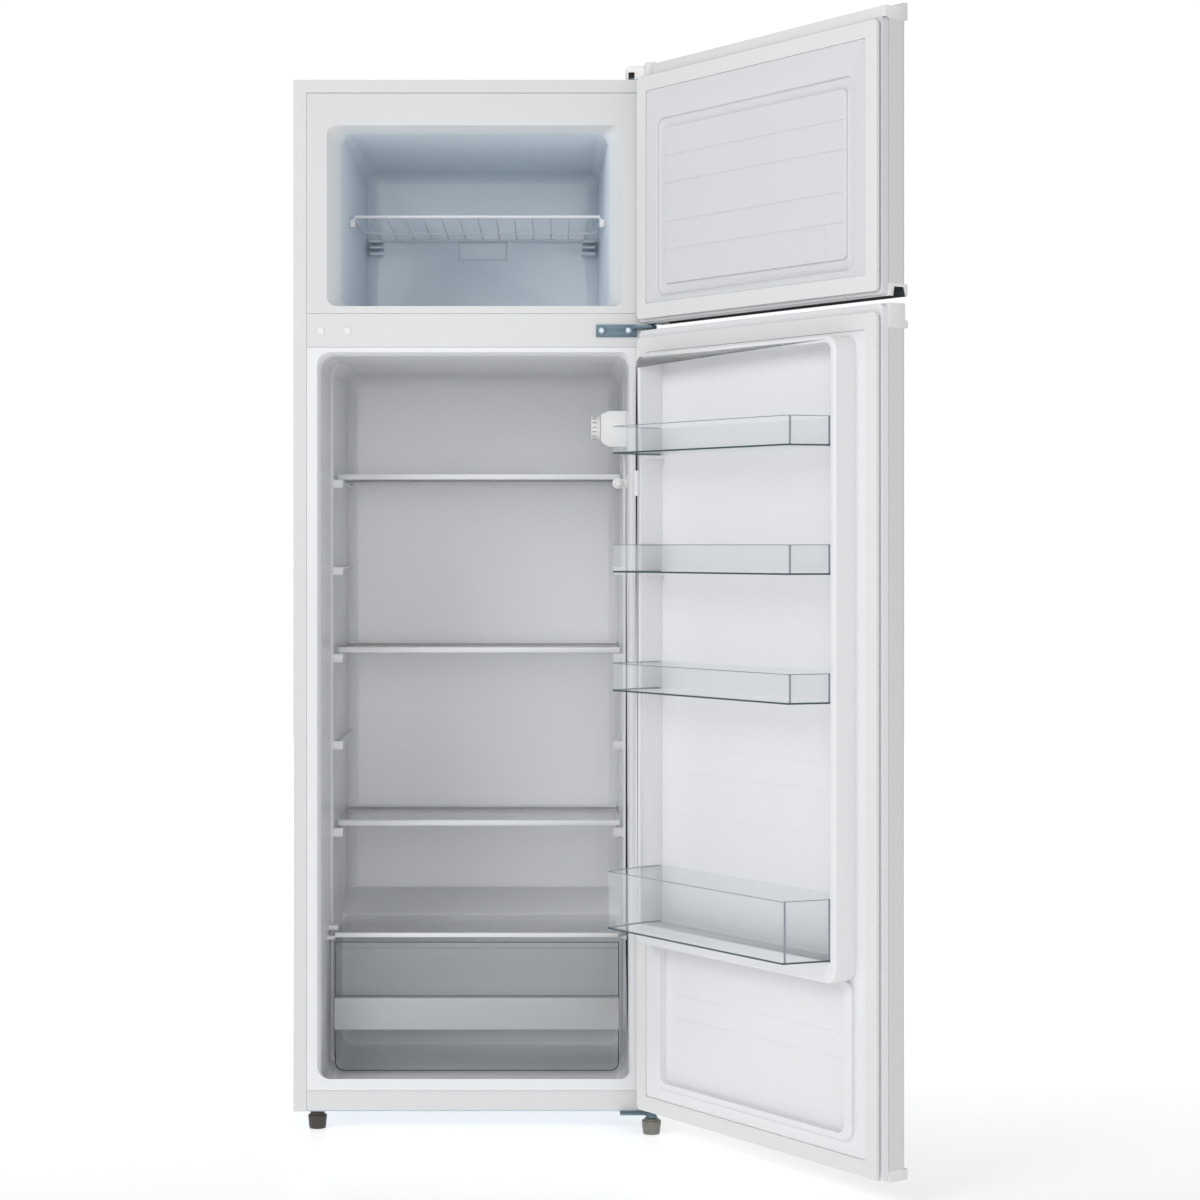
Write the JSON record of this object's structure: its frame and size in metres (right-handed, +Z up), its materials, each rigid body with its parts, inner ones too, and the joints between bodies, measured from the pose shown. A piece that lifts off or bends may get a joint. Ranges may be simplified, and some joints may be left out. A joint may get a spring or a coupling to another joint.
{
  "type": "top freezer refrigerator",
  "caption": "Two-door upright refrigerator with a freezer on top, glass shelves, a clear crisper drawer and door bins, shown with both doors open",
  "frame": {"origin": "on the floor, under the middle of the cabinet", "axes": "+Z up, +X to the right and +Y to the back as one stands before the open doors"},
  "size_m": [0.8629, 1.013, 1.599],
  "materials": {
    "white_steel": "gloss",
    "zinc_steel": "satin",
    "white_liner": "gloss",
    "white_trim": "satin",
    "gasket": "matte",
    "clear_plastic": "gloss",
    "shelf_glass": "gloss",
    "white_wire": "satin",
    "black_steel": "satin",
    "black_plastic": "matte",
    "foot_plastic": "matte",
    "dark_rubber": "matte",
    "copper": "satin",
    "alloy_tube": "satin",
    "lamp_glass": "gloss"
  },
  "bodies": {
    "cabinet": {"cabinet_shell": "white_steel", "crossbar": "white_steel", "crossbar_plugs": "white_trim", "bottom_rail": "white_steel", "back_panel": "zinc_steel", "machine_housing": "zinc_steel", "base_plate": "zinc_steel", "mains_gland": "black_plastic", "freezer_liner": "white_liner", "fridge_liner": "white_liner", "top_hinge": "zinc_steel", "top_hinge_cover": "white_trim", "middle_hinge": "zinc_steel", "bottom_hinge": "zinc_steel", "hinge_screws": "zinc_steel", "roller_brackets": "zinc_steel", "freezer_shelf_clips": "white_trim", "thermostat_housing": "white_trim", "lamp_cover": "clear_plastic", "lamp": "lamp_glass", "light_switch": "white_trim", "compressor": "black_steel", "compressor_grommets": "dark_rubber", "relay_box": "black_plastic", "filter_dryer": "copper", "refrigerant_lines": "copper", "drip_pan": "black_plastic", "condenser": "black_steel", "evaporator_coils": "alloy_tube"},
    "freezer_door": {"freezer_door_panel": "white_steel", "freezer_door_liner": "white_liner", "freezer_door_gasket": "gasket", "freezer_door_top_cap": "white_trim", "freezer_door_bottom_cap": "white_trim"},
    "fridge_door": {"fridge_door_panel": "white_steel", "fridge_door_liner": "white_liner", "fridge_door_gasket": "gasket", "fridge_door_top_cap": "white_trim", "fridge_door_bottom_cap": "white_trim"},
    "bin_top": {"top_door_bin": "clear_plastic"},
    "bin_middle": {"middle_door_bin": "clear_plastic"},
    "bin_lower": {"lower_door_bin": "clear_plastic"},
    "bin_bottle": {"bottle_bin": "clear_plastic"},
    "drawer": {"crisper_drawer": "clear_plastic"},
    "crisper_cover": {"crisper_cover_glass": "shelf_glass", "crisper_cover_trim": "white_trim"},
    "shelf_upper": {"upper_shelf_glass": "shelf_glass", "upper_shelf_trims": "white_trim"},
    "shelf_middle": {"middle_shelf_glass": "shelf_glass", "middle_shelf_trims": "white_trim"},
    "shelf_lower": {"lower_shelf_glass": "shelf_glass", "lower_shelf_trims": "white_trim"},
    "rack": {"freezer_shelf": "white_wire"},
    "dial": {"thermostat_dial": "white_trim"},
    "button": {"light_switch_button": "white_trim"},
    "foot_left": {"left_front_foot": "foot_plastic"},
    "foot_right": {"right_front_foot": "foot_plastic"},
    "roller_left": {"left_rear_roller": "foot_plastic"},
    "roller_right": {"right_rear_roller": "foot_plastic"}
  },
  "joints": [
    {"name": "freezer_door_hinge", "type": "hinge", "parent": "cabinet", "child": "freezer_door", "pos_m": [0.2644, -0.2825, 1.4], "axis": [0, 0, 1], "range_deg": [-124.4, 5.6]},
    {"name": "fridge_door_hinge", "type": "hinge", "parent": "cabinet", "child": "fridge_door", "pos_m": [0.2644, -0.2825, 0.6], "axis": [0, 0, 1], "range_deg": [-124.4, 5.6]},
    {"name": "top_bin_lift", "type": "slide", "parent": "fridge_door", "child": "bin_top", "axis": [0, 0, 1], "range_m": [0, 0.04]},
    {"name": "middle_bin_lift", "type": "slide", "parent": "fridge_door", "child": "bin_middle", "axis": [0, 0, 1], "range_m": [0, 0.04]},
    {"name": "lower_bin_lift", "type": "slide", "parent": "fridge_door", "child": "bin_lower", "axis": [0, 0, 1], "range_m": [0, 0.04]},
    {"name": "bottle_bin_lift", "type": "slide", "parent": "fridge_door", "child": "bin_bottle", "axis": [0, 0, 1], "range_m": [0, 0.04]},
    {"name": "drawer_slide", "type": "slide", "parent": "cabinet", "child": "drawer", "axis": [0, -1, 0], "range_m": [0, 0.085]},
    {"name": "crisper_cover_slide", "type": "slide", "parent": "cabinet", "child": "crisper_cover", "axis": [0, -1, 0], "range_m": [0, 0.2]},
    {"name": "upper_shelf_slide", "type": "slide", "parent": "cabinet", "child": "shelf_upper", "axis": [0, -1, 0], "range_m": [0, 0.29]},
    {"name": "middle_shelf_slide", "type": "slide", "parent": "cabinet", "child": "shelf_middle", "axis": [0, -1, 0], "range_m": [0, 0.29]},
    {"name": "lower_shelf_slide", "type": "slide", "parent": "cabinet", "child": "shelf_lower", "axis": [0, -1, 0], "range_m": [0, 0.29]},
    {"name": "freezer_shelf_slide", "type": "slide", "parent": "cabinet", "child": "rack", "axis": [0, -1, 0], "range_m": [0, 0.2]},
    {"name": "dial_turn", "type": "hinge", "parent": "cabinet", "child": "dial", "pos_m": [0.18, -0.1255, 1.06], "axis": [1, 0, 0], "range_deg": [0, 270]},
    {"name": "switch_press", "type": "slide", "parent": "cabinet", "child": "button", "axis": [0, 1, 0], "range_m": [0, 0.005], "stiffness_N_per_m": 200, "springref_m": -0.004},
    {"name": "left_foot_turn", "type": "hinge", "parent": "cabinet", "child": "foot_left", "pos_m": [-0.2375, -0.2425, 0.01], "axis": [0, 0, 1], "range_deg": [0, 1440]},
    {"name": "right_foot_turn", "type": "hinge", "parent": "cabinet", "child": "foot_right", "pos_m": [0.2644, -0.2825, 0.01], "axis": [0, 0, 1], "range_deg": [0, 1440]},
    {"name": "left_roller_spin", "type": "hinge", "parent": "cabinet", "child": "roller_left", "pos_m": [-0.215, 0.2225, 0.0125], "axis": [1, 0, 0], "continuous": true},
    {"name": "right_roller_spin", "type": "hinge", "parent": "cabinet", "child": "roller_right", "pos_m": [0.215, 0.2225, 0.0125], "axis": [1, 0, 0], "continuous": true}
  ]
}
